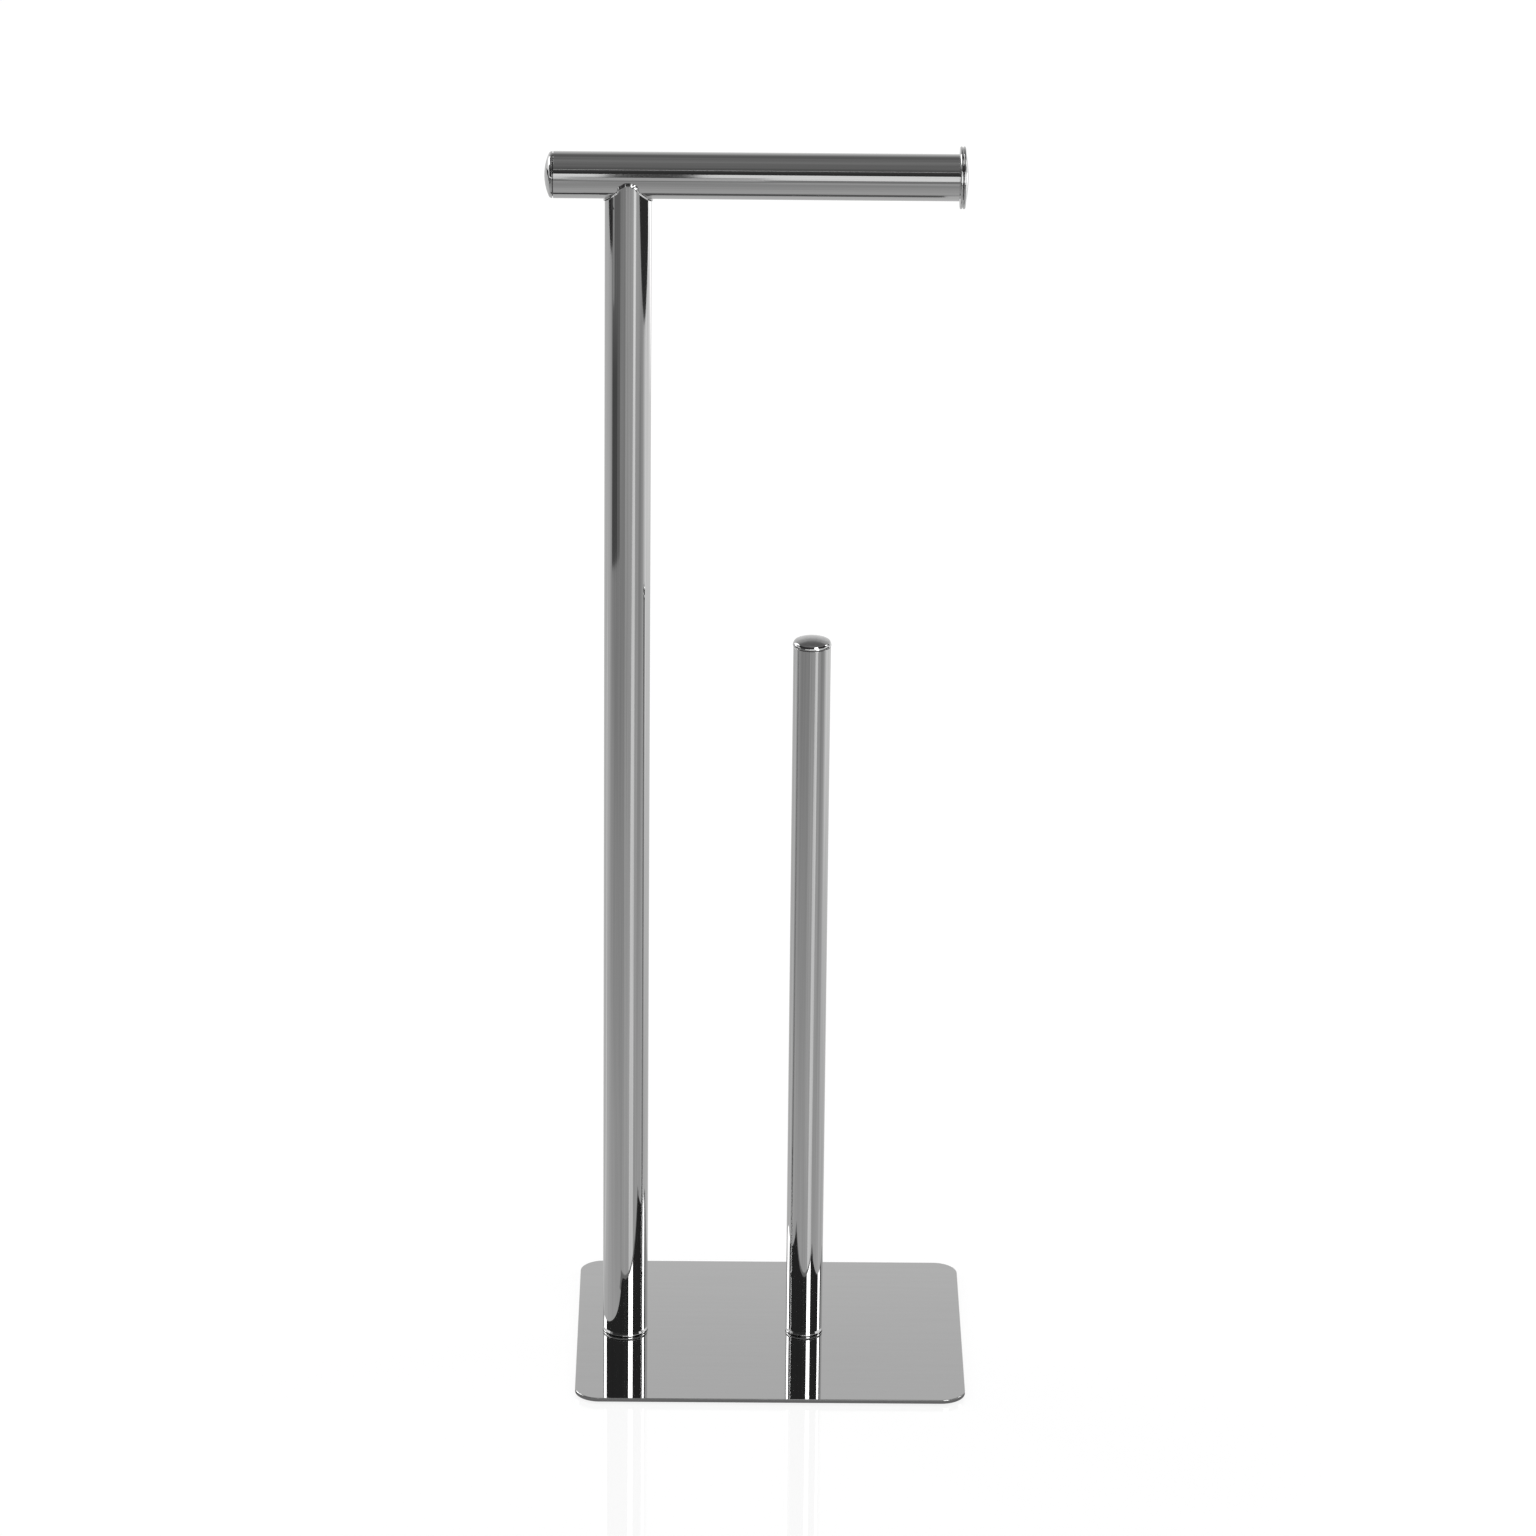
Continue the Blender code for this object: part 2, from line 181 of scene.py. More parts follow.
# %% [markdown]
# ## The tubes
#
# The posts and the arm are welded steel tube, ground and polished before plating. Only the outer skin
# shows, but the wall is modelled too, so that the piece stays a real tube when someone takes the stand
# apart. The burr is taken off the outer edges, and that tiny round catches a line of light at each end.

# %% Arm and spare post
EDGE_ROUND = 0.1 * MM
TO_RIGHT, TO_LEFT = 90, -90


def round_edge(radius, height, start, end):
    """The small round on the outer edge of a tube's end."""
    return arc(radius - EDGE_ROUND, height, EDGE_ROUND, start, end, steps=4)


def tube_profile(radius, length):
    bottom = round_edge(radius, EDGE_ROUND, -90, 0)
    top = round_edge(radius, length - EDGE_ROUND, 0, 90)
    return [(radius - TUBE_WALL, 0)] + bottom + top + [(radius - TUBE_WALL, length)]


arm_tube = turned(
    "polished_arm_tube",
    tube_profile(tube_radius, arm_high.x - arm_low.x),
    (arm_low.x, 0, arm_z),
    TO_RIGHT,
    closed=True,
)
spare_post = turned(
    "polished_spare_post",
    tube_profile(spare_radius, spare_high.z - spare_low.z),
    (spare_x, 0, spare_low.z),
    closed=True,
)

# %% [markdown]
# ## The coped top of the main post
#
# Where a tube meets another one crosswise, its end is cut to a saddle, which welders call a cope. It could
# be cut with a Boolean, but the curve is simple: over each point of the post's wall, the arm's round
# underside is at a known height. So the last loop of the tube just follows that height.

# %% Main post
COPE_RADIUS = tube_radius + SEAT_GAP


def cope_height(y):
    """Height of the cut at a distance y from the arm's middle line."""
    return arm_z - math.sqrt(COPE_RADIUS**2 - y**2)


def coped_loop(radius):
    loop = circle(radius, 0)
    return [Vector((p.x, p.y, cope_height(p.y))) for p in loop]


shape = bmesh.new()
foot = round_edge(tube_radius, EDGE_ROUND, -90, 0)
loops = [circle(radius, post_low.z + height) for radius, height in foot]
inner = tube_radius - TUBE_WALL
loops += [coped_loop(tube_radius), coped_loop(inner), circle(inner, post_low.z)]
join_loops(shape, loops, closed=True)
bmesh.ops.translate(shape, vec=(post_x, 0, 0), verts=shape.verts)
main_post = finish_mesh("polished_main_post", shape)
print("saddle from", round(cope_height(0) / MM, 1), "to", round(cope_height(tube_radius) / MM, 1), "mm")

# %% [markdown]
# ## The weld in the saddle
#
# A weld bead runs all round the saddle. At the sides it was dressed with a belt, which leaves two narrow
# flats with different tilts. The upper one leans out and catches light by way of the arm's underside. The
# lower one stands nearly upright and stays as dark as the post beside it. So in chrome the seam is a light
# line next to a dark one. At the front and back peaks the bead is wider and left as welded, with the small
# ripples that each drop of metal leaves.
#
# The bead could be a round tube along the curve, but that would show every direction at once and no clear
# line. So each loop here is a cross-section that is drawn flat by flat, and the loops follow each other
# round the post. Every measure of the section is three numbers: its size at the sides, what it gains at the
# peaks, and how much the ripples move it.

# %% Weld bead
WELD_STATIONS = 1080
WELD_RIPPLES = 34
FLAT_SHARES = (0, 0.12, 0.5, 0.88)
PEAK_STARTS, PEAK_FULL = 28, 18
TOE_ON_ARM = (0.25, 1.6, 0.1)
UPPER_FLAT, UPPER_TILT = (0.55, 0.3, 0), (30, -5, 3)
LOWER_FLAT, LOWER_TILT = (0.6, 0.1, 0), (7, 14, -6)
FOOT_TUCK, FOOT_GAIN, FOOT_RIPPLE = 0.1 * MM, 0.55 * MM, 0.2 * MM


def weld_section(turn):
    """Points round the bead's cross-section at one angle round the post."""
    out = Vector((math.cos(turn), math.sin(turn), 0))
    drop = math.sqrt(COPE_RADIUS**2 - (tube_radius * math.sin(turn)) ** 2)
    root = out * tube_radius - Vector((0, 0, drop))
    climb = tube_radius**2 * math.sin(turn) * math.cos(turn) / drop
    along = Vector((-tube_radius * math.sin(turn), tube_radius * math.cos(turn), climb)).normalized()
    down = along.cross(out)
    up_the_arm = Vector((0, root.y, root.z)).normalized().cross(along)

    from_peak = math.degrees(math.acos(min(abs(math.sin(turn)), 1)))
    peak = min(max((PEAK_STARTS - from_peak) / (PEAK_STARTS - PEAK_FULL), 0), 1)
    peak = peak * peak * (3 - 2 * peak)
    ripple = peak * math.cos(WELD_RIPPLES * turn)

    def here(measure):
        at_sides, gain, movement = measure
        return at_sides + gain * peak + movement * ripple

    arm_toe = root + up_the_arm * (here(TOE_ON_ARM) * MM)
    point = Vector((arm_toe.x, *(Vector((arm_toe.y, arm_toe.z)).normalized() * tube_radius)))
    face = []
    for flat, tilt in ((UPPER_FLAT, UPPER_TILT), (LOWER_FLAT, LOWER_TILT)):
        lean = math.radians(here(tilt))
        step = (down * math.cos(lean) + out * math.sin(lean)) * (here(flat) * MM)
        face += [point + step * share for share in FLAT_SHARES]
        point = point + step
    reach = (point - root).dot(down)
    foot = root + down * (reach - FOOT_TUCK + (FOOT_GAIN - FOOT_RIPPLE * ripple) * peak)
    return [root] + face + [point, point.lerp(foot, 0.5), foot]


shape = bmesh.new()
loops = [weld_section(math.tau * i / WELD_STATIONS) for i in range(WELD_STATIONS)]
join_loops(shape, loops, closed=True)
bmesh.ops.translate(shape, vec=(post_x, 0, arm_z), verts=shape.verts)
weld = finish_mesh("saddle_weld_bead", shape)

# %% [markdown]
# ## Domed caps
#
# The open tube ends are closed by push-in caps, pressed from sheet. A narrow lip covers the tube's end, a
# shoulder leads from it to the dome, and a spigot under it grips the bore. The tilts of the lip and the
# shoulder matter more than their sizes, because each angle shows another part of the room in the chrome: a
# bright strip of room in the lip, the dark wall in the shoulder and the light wall behind in the dome. The
# seam under the lip is dark because the spigot runs out in a cone there, which throws the light from wall
# to wall.
#
# So the profile isn't drawn from points. It is drawn by walking along the metal: each piece of it has a
# length in millimetres, a tilt at its start and a tilt at its end.

# %% The profile of a cap
SPIGOT_LENGTH = 9 * MM
SPIGOT_WALL = 1.5 * MM
SPIGOT_CLEARANCE = 0.15 * MM
SPIGOT_CHAMFER = 0.6 * MM
SEAM_CONE = 0.45 * MM
CAP_WALL = 0.8 * MM
CAP_SEAM = 0.15 * MM
LIP_INSET = 0.06 * MM


def spigot_profile(bore, length, seat=0):
    outer = bore - SPIGOT_CLEARANCE
    points = [(0, -CAP_WALL), (outer - SPIGOT_WALL, -CAP_WALL), (outer - SPIGOT_WALL, -length)]
    points += [(outer - SPIGOT_CHAMFER, -length), (outer, SPIGOT_CHAMFER - length)]
    return points + [(outer, seat - SEAM_CONE), (outer + SEAM_CONE, seat)]


def walked_profile(radius, height, pieces, steps=8):
    """Profile points along a surface. Each piece is (length in mm, first tilt, last tilt in degrees)."""
    points = [(radius, height)]
    for length, first, last in pieces:
        for i in range(steps):
            tilt = math.radians(first + (last - first) * (i + 0.5) / steps)
            radius -= math.sin(tilt) * length * MM / steps
            height += math.cos(tilt) * length * MM / steps
            points.append((radius, height))
    return points


def ball_dome(radius, base, rise, steps=32):
    """The part of a ball that has this radius at its base and this rise."""
    ball = (radius**2 + rise**2) / (2 * rise)
    edge = math.asin(radius / ball)
    angles = [edge * (1 - i / steps) for i in range(steps)]
    points = [(ball * math.sin(a), base + rise - ball * (1 - math.cos(a))) for a in angles]
    return points + [(0, base + rise)]


def cap_profile(lip_radius, bore, total, pieces):
    face = walked_profile(lip_radius - LIP_INSET, CAP_SEAM, pieces)
    radius, height = face[-1]
    dome = ball_dome(radius, height, total - height)[1:]
    return spigot_profile(bore, SPIGOT_LENGTH, CAP_SEAM) + face + dome


print("a spigot is", round(SPIGOT_LENGTH / MM, 1), "mm long")

# %% [markdown]
# ## The two small caps
#
# The arm's short end and the spare post have the same kind of cap. The pieces of the two faces differ,
# because the tilts were matched to the photograph for each cap by itself.

# %% End cap of the arm and cap of the spare post
SPARE_CAP_HEIGHT = 4.05 * MM
ARM_CAP_FACE = ((0.1, -70, 8), (0.45, 8, 17), (0.6, 18, 30), (0.8, 30, 65))
SPARE_CAP_FACE = ((0.25, -70, -10), (0.75, 7, 12), (0.95, 20, 30), (0.75, 30, 68))

arm_end = arm_low.x - SEAT_GAP
end_cap = turned(
    "pressed_arm_end_cap",
    cap_profile(tube_radius, tube_radius - TUBE_WALL, arm_end - end_cap_low.x, ARM_CAP_FACE),
    (arm_end, 0, arm_z),
    TO_LEFT,
)
spare_end = spare_high.z + SEAT_GAP
spare_lip = (spare_cap_high.x - spare_cap_low.x) / 2
spare_cap = turned(
    "pressed_spare_post_cap",
    cap_profile(spare_lip, spare_radius - TUBE_WALL, SPARE_CAP_HEIGHT, SPARE_CAP_FACE),
    (spare_x, 0, spare_end),
)

# %% [markdown]
# ## The flange at the arm's free end
#
# The roll is kept on the arm by a round flange, a little wider than the tube. It is two pieces side by
# side, a ring and a wide domed cap with a fine dark groove between them. Both rims are fully rounded, so
# each shows a bright line of its own. One arc draws them both, because the ring and the cap's rim have the
# same section.

# %% Flange ring and flange cap
flange_radius = (ring_high.z - ring_low.z) / 2
ring_width = ring_high.x - ring_low.x
rim_round = ring_width / 2
bore = tube_radius - TUBE_WALL
GROOVE = 0.2 * MM
DOME_INSET = 0.25 * MM

rim = arc(flange_radius - rim_round, rim_round, rim_round, -90, 90, steps=20)
profile = [(bore, 0)] + rim + [(bore, ring_width)]
flange_ring = turned("flange_stop_ring", profile, (ring_low.x, 0, arm_z), TO_RIGHT, closed=True)

cap_seat = ring_high.x + GROOVE
profile = spigot_profile(bore, cap_seat - arm_high.x + SPIGOT_LENGTH) + rim
dome_base = 2 * rim_round - DOME_INSET
dome_rise = flange_cap_high.x - cap_seat - dome_base
profile += ball_dome(flange_radius - rim_round - DOME_INSET, dome_base, dome_rise)
flange_cap = turned("flange_domed_cap", profile, (cap_seat, 0, arm_z), TO_RIGHT)

# %% [markdown]
# ## Foot plugs
#
# Each post is held by a tapped plug in its foot. Only the plug's lip shows, as a polished ring between the
# tube and the plate. Its side leans in towards the tube by about 27 degrees, which is why it shows a white
# crescent at the left and right and vanishes in front. The tapped bore and the spigot are hidden, but they
# are what the screw needs.

# %% Plugs
LIP_TOP = 1.6 * MM
LIP_FLARE = 0.2 * MM
LIP_EDGE_INSET = 0.05 * MM
LIP_SIDE = ((0.1, -60, 0), (0.35, 0, 2), (0.15, 2, 27), (1.0, 27, 27))
PLUG_CHAMFER = 1.0 * MM
TAP_RADIUS = 2.7 * MM
TAP_DEPTH = 12.0 * MM
TAP_CHAMFER = 0.4 * MM
DRILL_POINT = math.radians(30)


def plug_profile(radius, height):
    spigot = radius - TUBE_WALL - SPIGOT_CLEARANCE
    drill_tip = TAP_DEPTH + TAP_RADIUS * math.tan(DRILL_POINT)
    points = [(0, drill_tip), (TAP_RADIUS, TAP_DEPTH)]
    points += [(TAP_RADIUS, TAP_CHAMFER), (TAP_RADIUS + TAP_CHAMFER, 0)]
    points += walked_profile(radius + LIP_FLARE - LIP_EDGE_INSET, 0, LIP_SIDE)
    points += [(spigot, LIP_TOP), (spigot, height - PLUG_CHAMFER)]
    return points + [(spigot - PLUG_CHAMFER, height), (0, height)]


main_plug = turned(
    "main_foot_lip_and_plug",
    plug_profile(tube_radius, plug_high.z - plug_low.z),
    (post_x, 0, plug_low.z),
)
spare_plug = turned(
    "spare_foot_lip_and_plug",
    plug_profile(spare_radius, spare_plug_high.z - spare_plug_low.z),
    (spare_x, 0, spare_plug_low.z),
)

# %% [markdown]
# ## Countersunk screws
#
# From below, a countersunk M5 screw with a hexagon socket goes through the plate into each plug. The thread
# is a ridge that climbs 0.8 mm with each turn. It could be left to a bump map, but a loop whose radius
# depends on angle and height makes a real ridge with little more effort.

# %% Socket and thread
SCREW_STEPS = 48
SCREW_RADIUS = 2.5 * MM
HEAD_RADIUS = 4.6 * MM
SOCKET_WIDTH = 3.0 * MM
SOCKET_DEPTH = 1.7 * MM
THREAD_PITCH = 0.8 * MM
THREAD_DEPTH = 0.45 * MM
THREAD_ROWS = 12
SCREW_LENGTH = screw_high.z - screw_low.z
HEAD_BAND = 0.2 * MM
BROKEN_EDGE = 0.1 * MM
NECK = HEAD_BAND + HEAD_RADIUS - SCREW_RADIUS


def hexagon(width, height):
    loop = []
    for i in range(SCREW_STEPS):
        turn = math.tau * i / SCREW_STEPS
        from_middle = (turn % math.radians(60)) - math.radians(30)
        radius = width / 2 / math.cos(from_middle)
        loop.append(Vector((radius * math.cos(turn), radius * math.sin(turn), height)))
    return loop


def thread_loop(height):
    """A loop of the threaded shank. The ridge fades out at the neck and at the tip."""
    loop = []
    for i in range(SCREW_STEPS):
        turn = i / SCREW_STEPS
        phase = (height / THREAD_PITCH - turn) % 1
        groove = 1 - abs(2 * phase - 1)
        start = min(max((height - NECK) / THREAD_PITCH, 0), 1)
        tip = max((height - SCREW_LENGTH + THREAD_PITCH) / THREAD_PITCH, 0)
        radius = SCREW_RADIUS - THREAD_DEPTH * max(groove * start, tip)
        angle = math.tau * turn
        loop.append(Vector((radius * math.cos(angle), radius * math.sin(angle), height)))
    return loop


print("the thread climbs", round(THREAD_PITCH / MM, 2), "mm in one turn")

# %% [markdown]
# ## A screw from head to tip
#
# The loops start at the floor of the socket. They go out over the head, along its cone to the neck and then
# along the thread, and a single point closes the tip. Both posts have the same screw.

# %% Foot screws
def foot_screw(name, x):
    shape = bmesh.new()
    loops = [[Vector((0, 0, SOCKET_DEPTH))], hexagon(SOCKET_WIDTH, SOCKET_DEPTH)]
    loops += [hexagon(SOCKET_WIDTH, BROKEN_EDGE), hexagon(SOCKET_WIDTH + 2 * BROKEN_EDGE, 0)]
    head = ((HEAD_RADIUS - BROKEN_EDGE, 0), (HEAD_RADIUS, BROKEN_EDGE), (HEAD_RADIUS, HEAD_BAND))
    loops += [circle(radius, height, SCREW_STEPS) for radius, height in head]
    rows = round((SCREW_LENGTH - NECK) / THREAD_PITCH * THREAD_ROWS)
    loops += [thread_loop(NECK + (SCREW_LENGTH - NECK) * i / rows) for i in range(rows + 1)]
    loops.append([Vector((0, 0, SCREW_LENGTH))])
    join_loops(shape, loops)
    bmesh.ops.translate(shape, vec=(x, 0, screw_low.z), verts=shape.verts)
    return finish_mesh(name, shape)


main_screw = foot_screw("main_countersunk_screw", post_x)
spare_screw = foot_screw("spare_countersunk_screw", spare_x)

# %% [markdown]
# ## The base plate
#
# The plate is cut from 2 mm sheet with round corners, and its edges are polished over by a few tenths of a
# millimetre. A Bevel modifier could round them. Here each loop is the same rounded rectangle, drawn in a
# little further as it goes over the edge, which keeps the corners true circles. The two countersunk holes
# are loops as well, and the flat faces are filled between the loops.

# %% Sheets with round corners
CORNER_STEPS = 40


def rounded_rectangle(half_x, half_y, corner, height):
    loop = []
    for quarter, (side_x, side_y) in enumerate(((1, 1), (-1, 1), (-1, -1), (1, -1))):
        for i in range(CORNER_STEPS + 1):
            angle = math.radians(90 * (quarter + i / CORNER_STEPS))
            x = side_x * (half_x - corner) + corner * math.cos(angle)
            y = side_y * (half_y - corner) + corner * math.sin(angle)
            loop.append(Vector((x, y, height)))
    return loop


def sheet_loops(low, high, corner, edge_round, steps):
    """Loops from the bottom face of a sheet over its edge to the top face."""
    bottom = arc(0, low.z + edge_round, edge_round, -90, 0, steps)
    top = arc(0, high.z - edge_round, edge_round, 0, 90, steps)
    loops = []
    for out, height in bottom + top:
        draw_in = edge_round - out
        loops.append(rounded_rectangle(high.x - draw_in, high.y - draw_in, corner - draw_in, height))
    return loops


def fill_flat(shape, rows):
    """Fills a flat face that is bounded by loops, the first outside and the others round its holes."""
    edges = []
    for row in rows:
        for start, end in zip(row, row[1:] + row[:1]):
            edges.append(shape.edges.get((start, end)) or shape.edges.new((start, end)))
    bmesh.ops.triangle_fill(shape, use_beauty=True, use_dissolve=False, edges=edges)


print("a round corner has", CORNER_STEPS, "facets")

# %% [markdown]
# ## Plate and mat
#
# The mat is a sheet with two holes as well, only smaller, thinner and crisper at its edge. One helper makes
# both sheets. The holes of the mat are wider than the screw heads, so that a key reaches the sockets.

# %% Plate and mat
HOLE_STEPS = 96
PLATE_CORNER, PLATE_EDGE_ROUND = 12 * MM, 0.3 * MM
MAT_CORNER, MAT_EDGE_ROUND = PLATE_CORNER - 4 * MM, 0.1 * MM
MAT_HOLE_RADIUS = 7 * MM
SCREW_CLEARANCE = 0.2 * MM
SINK_BAND = 0.3 * MM
SINK_WIDENING = 0.4 * MM


def sheet_with_holes(name, low, high, corner, edge_round, hole_profile, steps):
    shape = bmesh.new()
    rows = join_loops(shape, sheet_loops(low, high, corner, edge_round, steps))
    bottoms, tops = [rows[0]], [rows[-1]]
    for x in (post_x, spare_x):
        loops = [circle(radius, height, HOLE_STEPS) for radius, height in hole_profile]
        hole = join_loops(shape, [[p + Vector((x, 0, 0)) for p in loop] for loop in loops])
        bottoms.append(hole[0])
        tops.append(hole[-1])
    fill_flat(shape, bottoms)
    fill_flat(shape, tops)
    return finish_mesh(name, shape)


hole = SCREW_RADIUS + SCREW_CLEARANCE
sink = HEAD_RADIUS + SCREW_CLEARANCE
countersink = [(sink, plate_low.z), (sink, plate_low.z + SINK_BAND), (hole + SINK_WIDENING, plate_high.z)]
base_plate = sheet_with_holes(
    "polished_base_plate", plate_low, plate_high, PLATE_CORNER, PLATE_EDGE_ROUND, countersink, steps=6
)
mat_hole = [(MAT_HOLE_RADIUS, mat_low.z), (MAT_HOLE_RADIUS, mat_high.z)]
mat = sheet_with_holes(
    "anti_slip_sheet", mat_low, mat_high, MAT_CORNER, MAT_EDGE_ROUND, mat_hole, steps=3
)

# %% [markdown]
# ## Materials
#
# A colour is written as the sRGB hex value that the eye would pick from a screen, and one function turns it
# to the linear numbers that the shader needs. Another small function adds a node with its settings and
# links.

# %% Helpers for materials
def linear(hex_colour):
    """Linear RGBA from an sRGB hex string such as C4C5C6."""
    channels = [int(hex_colour[i : i + 2], 16) / 255 for i in (0, 2, 4)]
    return [c / 12.92 if c <= 0.04045 else ((c + 0.055) / 1.055) ** 2.4 for c in channels] + [1]


def add_node(tree, kind, values=None, links=None, **settings):
    node = tree.nodes.new(kind)
    for name, value in settings.items():
        setattr(node, name, value)
    for socket, value in (values or {}).items():
        node.inputs[socket].default_value = value
    for socket, source in (links or {}).items():
        tree.links.new(source, node.inputs[socket])
    return node


def new_material(name):
    material = bpy.data.materials.new(name)
    material.use_nodes = True
    return material, material.node_tree, material.node_tree.nodes["Principled BSDF"]


print("white in linear numbers:", linear("FFFFFF"))

# %% [markdown]
# ## Bright nickel chrome on steel
#
# The real surface is a layer of chromium less than a micrometre thick over bright nickel, on steel that was
# ground and buffed. Chromium is a neutral grey metal that throws back a little over half of the light, so a
# chromed part is never as bright as the white it mirrors. It is nearly a perfect mirror. What tells it from
# a computed one is what grinding and buffing leave: a faint waviness, and fine hazy streaks. On a tube the
# waves are a few millimetres across, and waves and streaks are drawn out lengthwise, because the tube runs
# lengthwise past the belts. The sheet of the plate is flatter, so its waves are longer and lower, and its
# streaks are weaker. Noise that is stretched along one axis makes both. A real streak is about as wide as
# the grit that left it, a tenth of a millimetre or less. That is too fine for the picture, so the streaks
# are drawn 0.8 mm wide on the tubes and wider on the other pieces.

# %% Plated metal
CHROMIUM, HAZED_CHROMIUM = linear("C7C7C7"), linear("BDBDBD")


def stretched_noise(tree, sizes, detail):
    """Noise whose spots have the given sizes in metres along X, Y and Z."""
    place = add_node(tree, "ShaderNodeTexCoord").outputs["Object"]
    scale = [1 / size for size in sizes]
    stretched = add_node(tree, "ShaderNodeMapping", {"Scale": scale}, {"Vector": place}).outputs[0]
    noise = add_node(tree, "ShaderNodeTexNoise", {"Scale": 1, "Detail": detail}, {"Vector": stretched})
    return noise.outputs["Fac"]


def chrome(name, roughness, wave_sizes, wave_depth, streak_sizes, haziest=1.0):
    """Plated metal with a waviness and with streaks of haze, both sized in metres on each axis."""
    material, tree, shader = new_material(name)
    shader.inputs["Metallic"].default_value = 1
    shader.inputs["Roughness"].default_value = roughness
    streaks = stretched_noise(tree, streak_sizes, 3)
    numbers = {"From Min": 0.35, "From Max": 0.65, "To Max": haziest}
    haze = add_node(tree, "ShaderNodeMapRange", numbers, {"Value": streaks}).outputs[0]
    tint = add_node(
        tree, "ShaderNodeMix", {"A": CHROMIUM, "B": HAZED_CHROMIUM}, {"Factor": haze}, data_type="RGBA"
    )
    tree.links.new(tint.outputs["Result"], shader.inputs["Base Color"])
    waves = stretched_noise(tree, wave_sizes, 2)
    bump = add_node(tree, "ShaderNodeBump", {"Strength": 1, "Distance": wave_depth}, {"Height": waves})
    tree.links.new(bump.outputs[0], shader.inputs["Normal"])
    return material


print("chromium at its brightest:", round(CHROMIUM[0], 3))

# %% [markdown]
# ## Five finishes of chrome
#
# The tubes have two finishes, one for an upright tube and one for a level tube, because their streaks run
# lengthwise. Pressed caps were buffed on a soft wheel from all sides, so their waves and streaks have no
# direction. The weld was dressed by hand, which leaves short steep waves. It is the roughest of them and
# blurs what it mirrors.

# %% Chrome of the tubes, the plate, the caps and the weld
WAVE, STREAK, ALONG = 3.0 * MM, 0.8 * MM, 140 * MM
upright_chrome = chrome(
    "chrome_on_polished_tube_upright",
    roughness=0.04,
    wave_sizes=(WAVE, WAVE, ALONG),
    wave_depth=0.004 * MM,
    streak_sizes=(STREAK, STREAK, ALONG),
)
level_chrome = chrome(
    "chrome_on_polished_tube_level",
    roughness=0.04,
    wave_sizes=(ALONG, WAVE, WAVE),
    wave_depth=0.004 * MM,
    streak_sizes=(ALONG, STREAK, STREAK),
)
plate_chrome = chrome(
    "chrome_on_buffed_sheet",
    roughness=0.03,
    wave_sizes=(30 * MM,) * 3,
    wave_depth=0.001 * MM,
    streak_sizes=(60 * MM, 3 * MM, 3 * MM),
    haziest=0.15,
)
cap_chrome = chrome(
    "chrome_on_pressed_cap",
    roughness=0.04,
    wave_sizes=(3 * MM,) * 3,
    wave_depth=0.001 * MM,
    streak_sizes=(1.5 * MM,) * 3,
)
weld_chrome = chrome(
    "chrome_on_dressed_weld",
    roughness=0.07,
    wave_sizes=(0.6 * MM,) * 3,
    wave_depth=0.006 * MM,
    streak_sizes=(1 * MM,) * 3,
)
for finish in (upright_chrome, level_chrome, plate_chrome, cap_chrome, weld_chrome):
    print(finish.name)

# %% [markdown]
# ## Zinc-plated steel and EVA foam
#
# The screws are common hardware, barrel-plated with zinc, a dull bluish metal with a fine grain. The grain
# is drawn a quarter of a millimetre wide, coarser than it is, so that it shows. The mat is closed-cell EVA
# foam cut from sheet. It is almost black, quite matt, and its cut cells leave fine pits.

# %% Zinc and foam
ZINC_GRAIN = 0.25 * MM
FOAM_CELL, PIT_DEPTH = 0.5 * MM, 0.1 * MM

zinc, tree, shader = new_material("barrel_zinc_on_steel")
shader.inputs["Base Color"].default_value = linear("A9AEB3")
shader.inputs["Metallic"].default_value = 1
place = add_node(tree, "ShaderNodeTexCoord").outputs["Object"]
grain = add_node(tree, "ShaderNodeTexNoise", {"Scale": 1 / ZINC_GRAIN, "Detail": 3}, {"Vector": place})
rough = add_node(
    tree, "ShaderNodeMapRange", {"To Min": 0.28, "To Max": 0.45}, {"Value": grain.outputs["Fac"]}
)
tree.links.new(rough.outputs[0], shader.inputs["Roughness"])

foam, tree, shader = new_material("closed_cell_eva_foam")
shader.inputs["Base Color"].default_value = linear("232323")
shader.inputs["Roughness"].default_value = 0.9
place = add_node(tree, "ShaderNodeTexCoord").outputs["Object"]
cells = add_node(tree, "ShaderNodeTexVoronoi", {"Scale": 1 / FOAM_CELL}, {"Vector": place})
pits = {"Strength": 0.6, "Distance": PIT_DEPTH}
bump = add_node(tree, "ShaderNodeBump", pits, {"Height": cells.outputs["Distance"]})
tree.links.new(bump.outputs[0], shader.inputs["Normal"])
print(zinc.name, "and", foam.name)

# %% [markdown]
# ## Tie every piece to the frame
#
# The stand has no moving part, so all its pieces ride on the body called root. Each one names the CAD node
# that it stands for and the slot of the record that its finish comes from.

